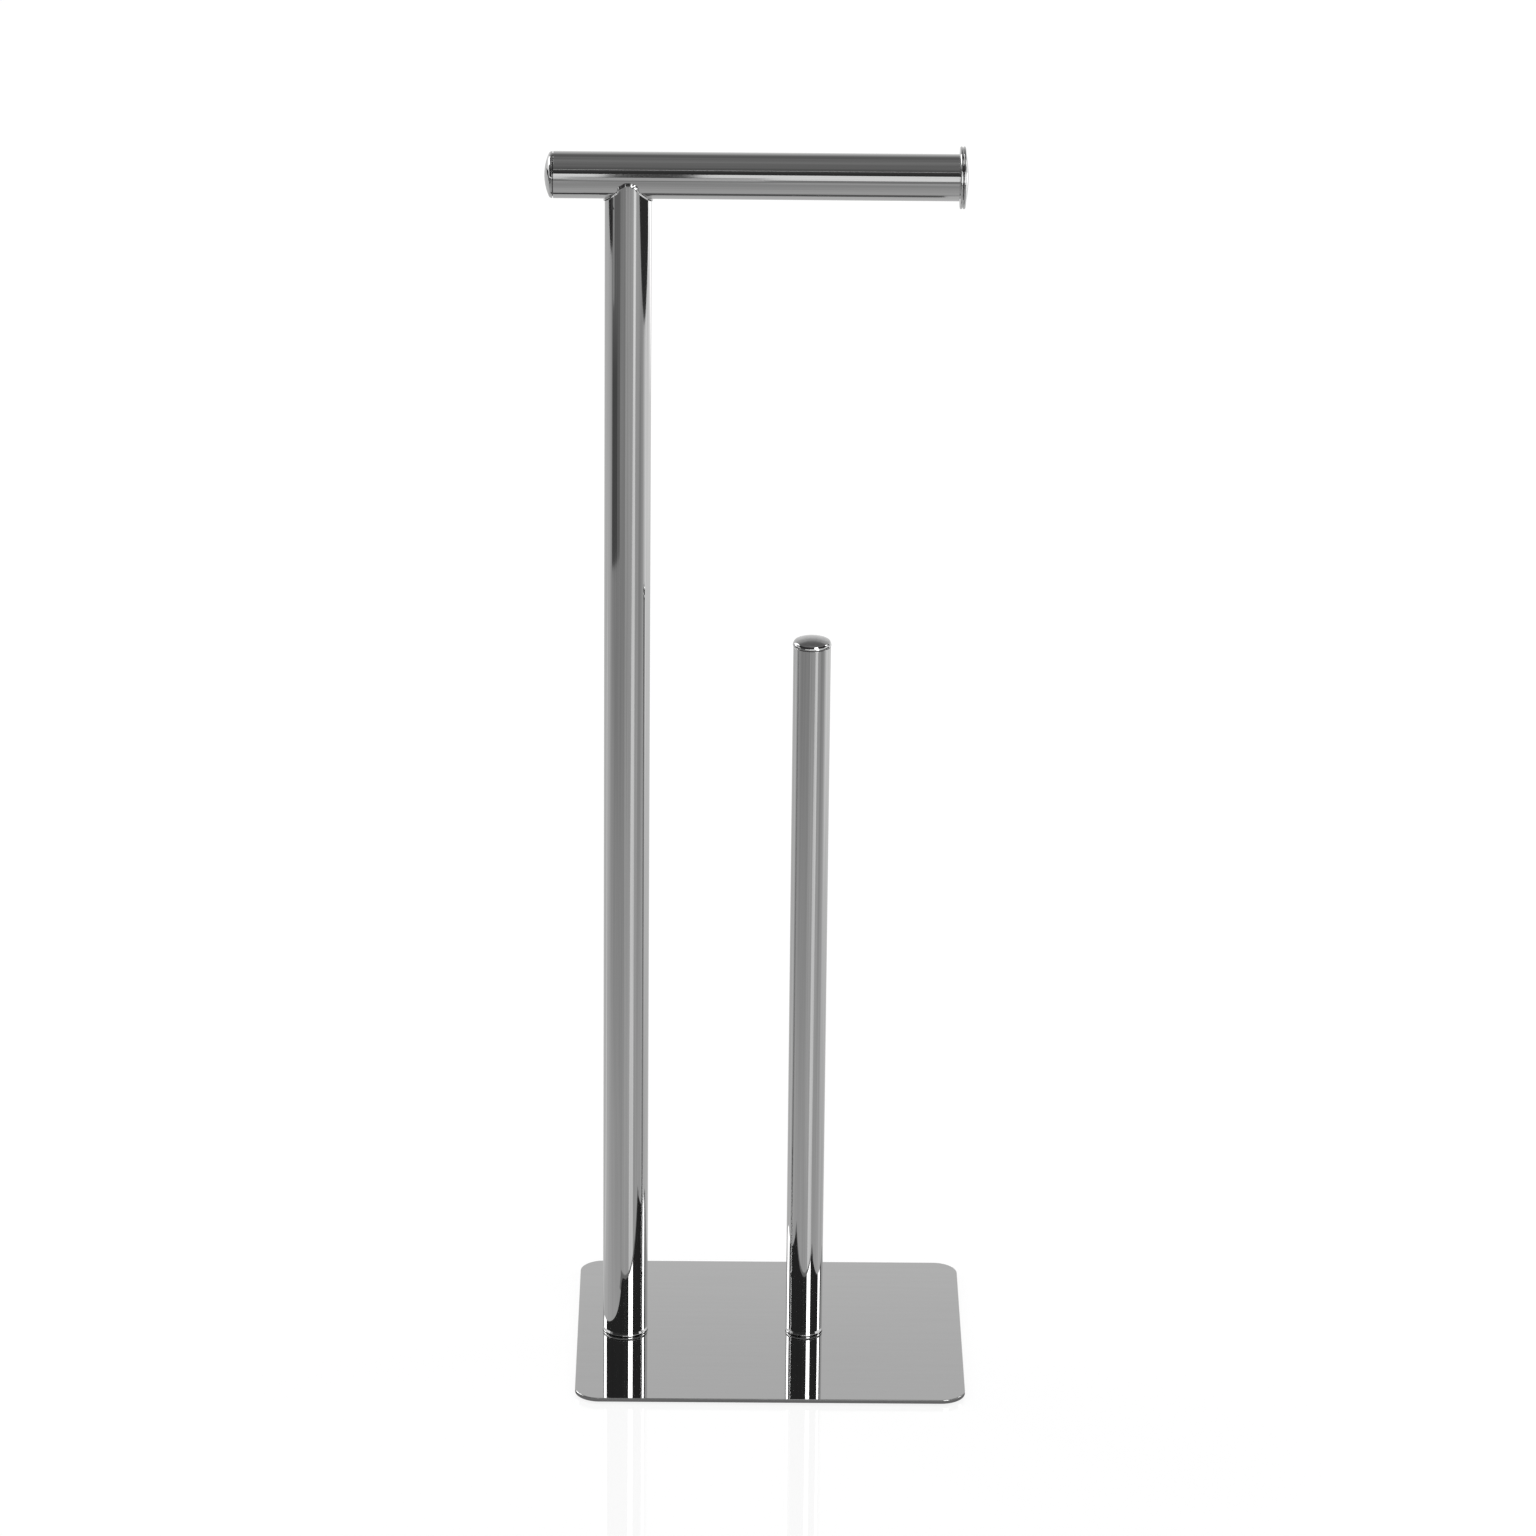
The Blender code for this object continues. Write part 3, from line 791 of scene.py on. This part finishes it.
# %% Finish and seat the pieces
pieces = (
    (base_plate, "base_plate", "mirror_chrome", plate_chrome),
    (mat, "anti_slip_mat", "mat_foam", foam),
    (main_post, "main_post", "mirror_chrome", upright_chrome),
    (arm_tube, "arm_tube", "mirror_chrome", level_chrome),
    (spare_post, "spare_post", "mirror_chrome", upright_chrome),
    (weld, "saddle_weld", "weld_chrome", weld_chrome),
    (end_cap, "arm_end_cap", "cap_chrome", cap_chrome),
    (spare_cap, "spare_post_cap", "cap_chrome", cap_chrome),
    (flange_ring, "arm_flange_ring", "cap_chrome", cap_chrome),
    (flange_cap, "arm_flange_cap", "cap_chrome", cap_chrome),
    (main_plug, "main_foot_plug", "cap_chrome", cap_chrome),
    (spare_plug, "spare_foot_plug", "cap_chrome", cap_chrome),
    (main_screw, "main_foot_screw", "zinc_screw", zinc),
    (spare_screw, "spare_foot_screw", "zinc_screw", zinc),
)
for piece, node, slot, material in pieces:
    piece.data.materials.append(material)
    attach(piece, "root")
    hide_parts(node)
print(len(pieces), "pieces ride on root")

# %% [markdown]
# ## The camera
#
# The photograph was taken from about 3.4 m away through a long lens, from above the stand's top. The
# numbers come from fitting the outlines of both tubes, the arm and the plate, and they leave an error of
# about a pixel.

# %% Camera
LENS, SENSOR = 165.88, 36
CAMERA_PLACE = (-0.02902, -3.18730, 1.50279)
PITCH, YAW, ROLL = 0.3607, 0.0080, -0.0102
camera = bpy.data.objects.new("camera", bpy.data.cameras.new("camera"))
camera.data.lens = LENS
camera.data.sensor_width = SENSOR
camera.data.clip_end = 200
bpy.context.scene.collection.objects.link(camera)
forward = Vector((math.sin(YAW) * math.cos(PITCH), math.cos(YAW) * math.cos(PITCH), -math.sin(PITCH)))
level = Vector((math.cos(YAW), -math.sin(YAW), 0))
down = forward.cross(level)
image_right = level * math.cos(ROLL) + down * math.sin(ROLL)
image_down = down * math.cos(ROLL) - level * math.sin(ROLL)
turn = Matrix((image_right, -image_down, -forward)).transposed().to_4x4()
camera.matrix_world = Matrix.Translation(CAMERA_PLACE) @ turn
bpy.context.scene.camera = camera
print("camera", CAMERA_PLACE[2], "m up, looking down by", round(math.degrees(PITCH), 1), "degrees")

# %% [markdown]
# ## The studio
#
# Chrome has no look of its own. It shows the room, so the room is built from what the photograph shows in
# the chrome. The floor and everything far away are white to the camera. Round the stand, out of the
# picture, are the cards and lamps that a photographer would set up: a grey floor, a dark wall in front with
# a bright strip of room under it, a light grey wall behind, low cards at both sides, three strip lamps and
# a dim ceiling. The camera can't see the cards. Only mirrors look at them, so apart from the lamps they
# neither light anything nor shade it.

# %% White world
SOFT_LIGHT = 0.75


def seen_directly(tree):
    """1 for rays from the camera and for those that come by way of a mirror or glass."""
    path = add_node(tree, "ShaderNodeLightPath").outputs
    pair = {0: path["Is Camera Ray"], 1: path["Is Glossy Ray"]}
    first = add_node(tree, "ShaderNodeMath", links=pair, operation="ADD").outputs[0]
    pair = {0: first, 1: path["Is Transmission Ray"]}
    return add_node(tree, "ShaderNodeMath", links=pair, operation="ADD", use_clamp=True).outputs[0]


world = bpy.data.worlds.new("white_room")
world.use_nodes = True
bpy.context.scene.world = world
tree = world.node_tree
background = tree.nodes["Background"]
background.inputs["Color"].default_value = linear("FFFFFF")
background.inputs["Strength"].default_value = SOFT_LIGHT
white = add_node(tree, "ShaderNodeBackground", {"Color": linear("FFFFFF"), "Strength": 1})
parts = {0: seen_directly(tree), 1: background.outputs[0], 2: white.outputs[0]}
choice = add_node(tree, "ShaderNodeMixShader", links=parts)
tree.links.new(choice.outputs[0], tree.nodes["World Output"].inputs["Surface"])
print("soft light at", SOFT_LIGHT)

# %% [markdown]
# ## The floor that the camera sees
#
# Most of the floor's white is a glow of its own, and the rest is soft light on a matt grey. So the floor is
# white and still darkens a little where the plate keeps the light off it. Close to the plate it is a faint
# mirror as well, as in the photograph, and that fades out with the distance.

# %% White floor
def stage_mesh(name, points, faces, material):
    mesh = bpy.data.meshes.new(name)
    mesh.from_pydata([Vector(p) for p in points], [], faces)
    mesh.materials.append(material)
    thing = add_object(name, mesh)
    print("stage piece", name)
    return thing


def stage_material(name):
    """A material whose tree holds nothing yet but its output."""
    material, tree, shader = new_material(name)
    tree.nodes.remove(shader)
    return material, tree


FLOOR_HALF = 60
FLOOR_GLOW = 0.93
FLOOR_MIRROR = 0.08
MIRROR_FADES_FROM, MIRROR_FADES_TO = 0.25, 0.6
floor_material, tree = stage_material("white_floor")
matt = add_node(tree, "ShaderNodeBsdfDiffuse", {"Color": linear("595959")}).outputs[0]
shine = add_node(tree, "ShaderNodeEmission", {"Color": linear("FFFFFF"), "Strength": FLOOR_GLOW}).outputs[0]
lit = add_node(tree, "ShaderNodeAddShader", links={0: matt, 1: shine}).outputs[0]
mirror = add_node(tree, "ShaderNodeBsdfGlossy", {"Color": linear("FFFFFF"), "Roughness": 0.03}).outputs[0]
place = add_node(tree, "ShaderNodeTexCoord").outputs["Object"]
away = add_node(tree, "ShaderNodeVectorMath", links={0: place}, operation="LENGTH").outputs["Value"]
fade = {"From Min": MIRROR_FADES_FROM, "From Max": MIRROR_FADES_TO, "To Min": FLOOR_MIRROR, "To Max": 0}
share = add_node(tree, "ShaderNodeMapRange", fade, {"Value": away}, interpolation_type="SMOOTHSTEP")
surface = add_node(tree, "ShaderNodeMixShader", links={0: share.outputs[0], 1: lit, 2: mirror})
tree.links.new(surface.outputs[0], tree.nodes["Material Output"].inputs["Surface"])
corners = [(x * FLOOR_HALF, y * FLOOR_HALF, 0) for x, y in ((-1, -1), (1, -1), (1, 1), (-1, 1))]
stage_mesh("studio_floor", corners, [(0, 1, 2, 3)], floor_material)

# %% [markdown]
# ## What the mirror sees
#
# A card is a sheet that glows at the level at which it shows in the chrome, where 1 is white. The arm alone
# sees the whole circle from the floor in front, over the ceiling, to the wall behind, so reading it from
# top to bottom tells how bright each direction is. The levels change smoothly from one height to the next,
# as they do in a real room, so a card takes a colour ramp along one axis instead of one flat level.

# %% Cards with a ramp of levels
BRIGHTEST = 8.0


def one_sided(tree, shader):
    """Shows a surface from its upper side only, so that the floor's gloss doesn't mirror its back."""
    clear = add_node(tree, "ShaderNodeBsdfTransparent").outputs[0]
    underneath = add_node(tree, "ShaderNodeNewGeometry").outputs["Backfacing"]
    return add_node(tree, "ShaderNodeMixShader", links={0: underneath, 1: shader, 2: clear}).outputs[0]


def card_material(name, axis, stops, on_floor=False):
    """A card that glows by itself. stops are pairs of a place along the axis, in metres, and a level."""
    material, tree = stage_material(name)
    first, last = stops[0][0], stops[-1][0] + 0.001
    place = add_node(tree, "ShaderNodeTexCoord").outputs["Object"]
    part = add_node(tree, "ShaderNodeSeparateXYZ", links={0: place}).outputs[axis]
    share = add_node(tree, "ShaderNodeMapRange", {"From Min": first, "From Max": last}, {"Value": part})
    ramp = add_node(tree, "ShaderNodeValToRGB", links={"Fac": share.outputs[0]})
    while len(ramp.color_ramp.elements) < len(stops):
        ramp.color_ramp.elements.new(0.5)
    for element, (at, level) in zip(ramp.color_ramp.elements, stops):
        element.position = (at - first) / (last - first)
    for element, (at, level) in zip(ramp.color_ramp.elements, stops):
        element.color = (level / BRIGHTEST, level / BRIGHTEST, level / BRIGHTEST, 1)
    colour = ramp.outputs["Color"]
    light = add_node(tree, "ShaderNodeEmission", {"Strength": BRIGHTEST}, {"Color": colour}).outputs[0]
    surface = one_sided(tree, light) if on_floor else light
    tree.links.new(surface, tree.nodes["Material Output"].inputs["Surface"])
    return material


def flat_material(name, level, on_floor=False):
    return card_material(name, "Z", [(-10, level), (10, level)], on_floor)


def only_for_mirrors(thing):
    thing.visible_camera = False
    thing.visible_diffuse = False
    thing.visible_shadow = False
    return thing


print("a ramp can go up to level", BRIGHTEST)

# %% [markdown]
# ## How the cards are shaped
#
# The stand is in the middle of the room, and the walls curve round it, so that their level doesn't change
# from side to side. Angles count from the front towards +X. A band starts and ends at one angle all the way
# up, a panel has a top that goes up and down, and a flat card lies level.

# %% Walls, bands, panels and flat cards
def on_ring(distance, degrees):
    """A place on the floor at a distance and an angle from the front towards +X."""
    angle = math.radians(degrees)
    return distance * math.sin(angle), -distance * math.cos(angle)


def wall(name, distance, rows, material, steps=24):
    """A curved card. rows are (height, start, end), with start and end in degrees."""
    points, faces = [], []
    for height, start, end in rows:
        for i in range(steps + 1):
            points.append((*on_ring(distance, start + (end - start) * i / steps), height))
    for row in range(len(rows) - 1):
        for i in range(steps):
            a = row * (steps + 1) + i
            faces.append((a, a + 1, a + steps + 2, a + steps + 1))
    return only_for_mirrors(stage_mesh(name, points, faces, material))


def band(name, distance, heights, start, end, material):
    """A curved card that starts and ends at the same angles all the way up."""
    return wall(name, distance, [(height, start, end) for height in heights], material)


def panel(name, distance, columns, material):
    """A curved card whose top isn't level. columns are (angle, low, high)."""
    points = []
    for angle, low, high in columns:
        x, y = on_ring(distance, angle)
        points += [(x, y, low), (x, y, high)]
    faces = [(2 * i, 2 * i + 2, 2 * i + 3, 2 * i + 1) for i in range(len(columns) - 1)]
    return only_for_mirrors(stage_mesh(name, points, faces, material))


def flat_card(name, low_corner, high_corner, height, material):
    (x0, y0), (x1, y1) = low_corner, high_corner
    points = [(x0, y0, height), (x1, y0, height), (x1, y1, height), (x0, y1, height)]
    return only_for_mirrors(stage_mesh(name, points, [(0, 1, 2, 3)], material))


print("one metre away at 90 degrees is", [round(v, 3) for v in on_ring(1, 90)])

# %% [markdown]
# ## Walls, low cards and ceiling
#
# The dark wall stands in front and at the sides, with the bright strip of room under it, which is tallest
# straight ahead and to the right. The light grey wall stands behind and goes on low at the left. Two low
# cards stand nearer, one at each side, and make the white crescents in the lips of the foot plugs.

# %% Walls and ceiling
FAR, NEAR = 8.0, 3.0
CEILING = 7.6
back_levels = [(0, 0.85), (3.0, 0.74), (3.66, 0.715), (3.8, 0.67), (5.5, 0.5), (CEILING, 0.36)]
dark_levels = [(-1, 0.05), (5.2, 0.045), (CEILING, 0.1)]
bright_levels = [(-1, 1.05), (3.4, 1.15)]
ceiling_levels = [(-FAR, 0.12), (-5.9, 0.155), (-4, 0.21), (-2.5, 0.205), (-1, 0.26), (0, 0.27)]
ceiling_levels += [(1.2, 0.21), (2.5, 0.22), (4, 0.165), (6, 0.19), (FAR, 0.32)]
panel_tops = [(-12, 3.45), (0, 3.5), (15, 3.45), (30, 3.35), (42, 3.2), (53, 3.1), (56, 2.3), (66, 1.87)]
panel_tops += [(78, 1.32), (90, 0.75), (102, 0.75), (114, 0.75), (126, 0.75)]
DARK_WALL_DISTANCE = FAR + 0.3
LOW_CARD_HEIGHTS = (0.3, 1.15)

dark = card_material("dark_wall", "Z", dark_levels)
grey = card_material("back_wall", "Z", back_levels)
bright = card_material("bright_panel", "Z", bright_levels)
low_card = flat_material("low_side_card", 1.2)
band("dark_wall", DARK_WALL_DISTANCE, (-1, CEILING), -112, 126, dark)
band("back_wall", FAR, (0, CEILING), 126, 248, grey)
band("low_wall_left", FAR, (0, 2.5), -112, -75, grey)
panel("bright_panel", FAR, [(angle, -1, top) for angle, top in panel_tops], bright)
band("low_bright_strip", FAR, (-1, 0.75), -75, -12, bright)
band("low_card_left", NEAR, LOW_CARD_HEIGHTS, -116, -76, low_card)
band("low_card_right", NEAR, LOW_CARD_HEIGHTS, 76, 116, low_card)
flat_card("ceiling", (-FAR, -FAR), (FAR, FAR), CEILING, card_material("ceiling", "Y", ceiling_levels))

# %% [markdown]
# ## Lamps, the camera's own reflection and the flag
#
# Three strip lamps stand round the stand, two of them three metres away and one six. They are the only
# cards that also light the floor and the mat. The camera shows as a small dark gap in the bright band along
# the arm. A dark flag, a panel that keeps light off, stands on the floor to the left and dims the upper
# half of the tall post.

# %% Lamps, camera and flag
LAMP_LEVEL = 5.0
right_front = [(0, 28, 42), (0.45, 26, 38), (0.9, 18, 37), (1.3, 16, 38), (2.7, 16, 38)]
right_back = [(2.65, 96, 114), (4.6, 96, 114)]
left_back = [(0.65, -136, -114), (1.9, -136, -114), (2.25, -136, -92), (2.9, -136, -92)]
lamps = {
    "strip_lamp_right_front": (NEAR, right_front),
    "strip_lamp_right_back": (2 * NEAR, right_back),
    "strip_lamp_left_back": (NEAR, left_back),
}
for name, (distance, rows) in lamps.items():
    lamp = wall(name, distance, rows, flat_material(name, LAMP_LEVEL))
    lamp.visible_diffuse = True


def upright_card(name, from_x, to_x, y, from_z, to_z, level):
    points = [(from_x, y, from_z), (to_x, y, from_z), (to_x, y, to_z), (from_x, y, to_z)]
    return only_for_mirrors(stage_mesh(name, points, [(0, 1, 2, 3)], flat_material(name, level)))


upright_card("camera_and_lens", -0.135, -0.050, y=-3.19, from_z=0.78, to_z=1.9, level=0.08)
upright_card("camera_stand", -0.170, 0.015, y=-3.20, from_z=0.0, to_z=0.95, level=0.6)
FLAG_DISTANCE, FLAG_TOP, FLAG_LEVEL = 1.25, 0.45, 0.19
flag_levels = [(0, 0.1), (0.13, 0.1), (0.19, FLAG_LEVEL), (FLAG_TOP, FLAG_LEVEL)]
flag = card_material("dark_flag", "Z", flag_levels)
flag_edge = flat_material("dark_flag_edge", FLAG_LEVEL)
band("dark_flag", FLAG_DISTANCE, (0, FLAG_TOP), -82, -54, flag)
band("dark_flag_edge", FLAG_DISTANCE, (0, FLAG_TOP), -54, -40, flag_edge)
band("gap_beside_flag", FLAG_DISTANCE - 0.02, (0.185, FLAG_TOP), -79, -71, flat_material("gap", 0.4))

# %% [markdown]
# ## The floor as the mirror sees it
#
# The floor is the most important card, because both posts look down on it all the way up. It is brightest
# round the plate and falls off with distance, it is lighter behind than in front, and it ends at straight
# edges. In front it has the weak gloss of a laminated board: the right-hand lamp shows in it, and from
# there in the posts as the bright line along their whole length. A bright patch, perhaps the light of a
# window, lies on it at the back right.

# %% What the floor card is made of
FRONT_LEVELS, FRONT_FADES_OVER = (0.52, 0.38), 1.1
GAIN_TO_RIGHT, GAIN_HALF_WIDTH = (1.03, 1.16), 1.3
BACK_LEVELS, BACK_FADES_OVER = (0.66, 1.0), 1.1
FRONT_TO_BACK = 0.26
GLOSS_ENDS_BACKWARD, GLOSS_ENDS_SIDEWAYS = (0.35, 0.55), (0.9, 0.97)


def floor_card_material():
    material, tree = stage_material("floor_card")
    place = add_node(tree, "ShaderNodeTexCoord").outputs["Object"]
    parts = add_node(tree, "ShaderNodeSeparateXYZ", links={0: place}).outputs
    distance = add_node(tree, "ShaderNodeVectorMath", links={0: place}, operation="LENGTH").outputs["Value"]
    shares = []
    for part in (parts["Y"], parts["X"]):
        share = add_node(tree, "ShaderNodeMath", links={0: part, 1: distance}, operation="DIVIDE")
        shares.append(share.outputs[0])
    backward, to_right = shares
    sideways = add_node(tree, "ShaderNodeMath", links={0: to_right}, operation="ABSOLUTE").outputs[0]

    fades = []
    for value, start, end, first, last in (
        (distance, 0, FRONT_FADES_OVER, *FRONT_LEVELS),
        (parts["X"], -GAIN_HALF_WIDTH, GAIN_HALF_WIDTH, *GAIN_TO_RIGHT),
        (parts["X"], 0, BACK_FADES_OVER, *BACK_LEVELS),
        (backward, -FRONT_TO_BACK, FRONT_TO_BACK, 0, 1),
        (backward, *GLOSS_ENDS_BACKWARD, 1, 0),
        (sideways, *GLOSS_ENDS_SIDEWAYS, 1, 0),
    ):
        numbers = {"From Min": start, "From Max": end, "To Min": first, "To Max": last}
        fade = add_node(tree, "ShaderNodeMapRange", numbers, {"Value": value})
        fade.interpolation_type = "SMOOTHSTEP"
        fades.append(fade.outputs[0])
    near_to_far, gain, behind, turning, not_behind, not_beside = fades

    products = []
    fresnel = add_node(tree, "ShaderNodeFresnel", {"IOR": 1.4}).outputs[0]
    for factors in ((near_to_far, gain), (fresnel, not_behind, not_beside)):
        product = factors[0]
        for factor in factors[1:]:
            times = add_node(tree, "ShaderNodeMath", links={0: product, 1: factor}, operation="MULTIPLY")
            product = times.outputs[0]
        products.append(product)
    in_front, laminated = products
    level = add_node(tree, "ShaderNodeMix", links={"Factor": turning, "A": in_front, "B": behind})
    matt = add_node(tree, "ShaderNodeEmission", links={"Strength": level.outputs[0]}).outputs[0]
    gloss = add_node(tree, "ShaderNodeBsdfGlossy", {"Roughness": 0.1}).outputs[0]
    mixed = add_node(tree, "ShaderNodeMixShader", links={0: laminated, 1: matt, 2: gloss}).outputs[0]
    tree.links.new(one_sided(tree, mixed), tree.nodes["Material Output"].inputs["Surface"])
    return material


board = floor_card_material()
print("board glows at", FRONT_LEVELS, "in front and", BACK_LEVELS, "behind")

# %% [markdown]
# ## The floor in pieces
#
# The board lies under and round the stand. To its left and right the floor is nearly black, in front it is
# dim, and far to the right it is light again. The bright patch lies a little higher than the board.

# %% Floor cards
CARD_HEIGHT = 0.3 * MM
LEFT_EDGE, RIGHT_EDGE, FRONT_EDGE, BACK_EDGE = -1.97, 1.65, -2.1, 3.5
DARK_RIGHT, DARK_BACK = 4.2, 3

flat_card("floor_card", (LEFT_EDGE, FRONT_EDGE), (RIGHT_EDGE, BACK_EDGE), CARD_HEIGHT, board)
dark = flat_material("dark_floor", 0.04, on_floor=True)
flat_card("dark_floor_left", (-FAR, -FAR), (LEFT_EDGE, DARK_BACK), CARD_HEIGHT, dark)
flat_card("dark_floor_right", (RIGHT_EDGE, -FAR), (DARK_RIGHT, DARK_BACK), CARD_HEIGHT, dark)
light = flat_material("light_floor_far_right", 0.85, on_floor=True)
flat_card("light_floor_far_right", (DARK_RIGHT, -FAR), (FAR, DARK_BACK), CARD_HEIGHT, light)
dim = flat_material("dim_floor_in_front", 0.3, on_floor=True)
flat_card("dim_floor_in_front", (LEFT_EDGE, -FAR), (RIGHT_EDGE, FRONT_EDGE), CARD_HEIGHT, dim)

PATCH_FRONT, PATCH_MIDDLE, PATCH_BACK, PATCH_RIGHT = 0.9, 1.28, 2.2, 1.9
patch = flat_material("bright_floor_right_back", 1.7, on_floor=True)
for name, left, front, back in (
    ("bright_floor_right_back", 0.75, PATCH_MIDDLE, PATCH_BACK),
    ("bright_floor_right", 1.52, PATCH_FRONT, PATCH_MIDDLE),
):
    flat_card(name, (left, front), (PATCH_RIGHT, back), 2 * CARD_HEIGHT, patch)

# %% [markdown]
# ## Painted shadow at the plate and painted reflection under the arm
#
# Along the plate's front edge the floor is dark, because the plate keeps the light off it, and a glowing
# card has no shadow of its own, so it gets a painted shadow as a dark strip. The dark line low on the arm
# is the plate's reflection. It runs on to the end of the short side, though from there the mirrored view
# already misses the plate. A narrow dark strip close under the arm carries it on as a painted reflection, a
# card that only the arm mirrors.

# %% Painted shadow and reflection strips
EDGE_SHADOW_FRONT, EDGE_SHADOW_BACK, EDGE_SHADOW_OVER = -90 * MM, -66 * MM, 10 * MM
at_front = flat_material("shadow_at_front_edge", 0.22, on_floor=True)
shadow_left = (plate_low.x - EDGE_SHADOW_OVER, EDGE_SHADOW_FRONT)
shadow_right = (plate_high.x + EDGE_SHADOW_OVER, EDGE_SHADOW_BACK)
flat_card("shadow_at_front_edge", shadow_left, shadow_right, 2 * CARD_HEIGHT, at_front)

STRIP_LEFT, STRIP_RIGHT, STRIP_FRONT, STRIP_BACK = -112 * MM, -81 * MM, -10.1 * MM, -7.6 * MM
STRIP_DROP = 4 * MM
# Painted reflection: a dark card close under the arm, seen only in the arm, stands in for the plate there.
under_arm = flat_material("painted_plate_reflection_strip", 0.08)
strip_height = arm_low.z - STRIP_DROP
flat_card("painted_plate_reflection_strip", (STRIP_LEFT, STRIP_FRONT), (STRIP_RIGHT, STRIP_BACK), strip_height, under_arm)

# %% [markdown]
# ## Colour
#
# The view transform is Standard, so that a colour shows as it is written.

# %% View transform
bpy.context.scene.view_settings.view_transform = "Standard"
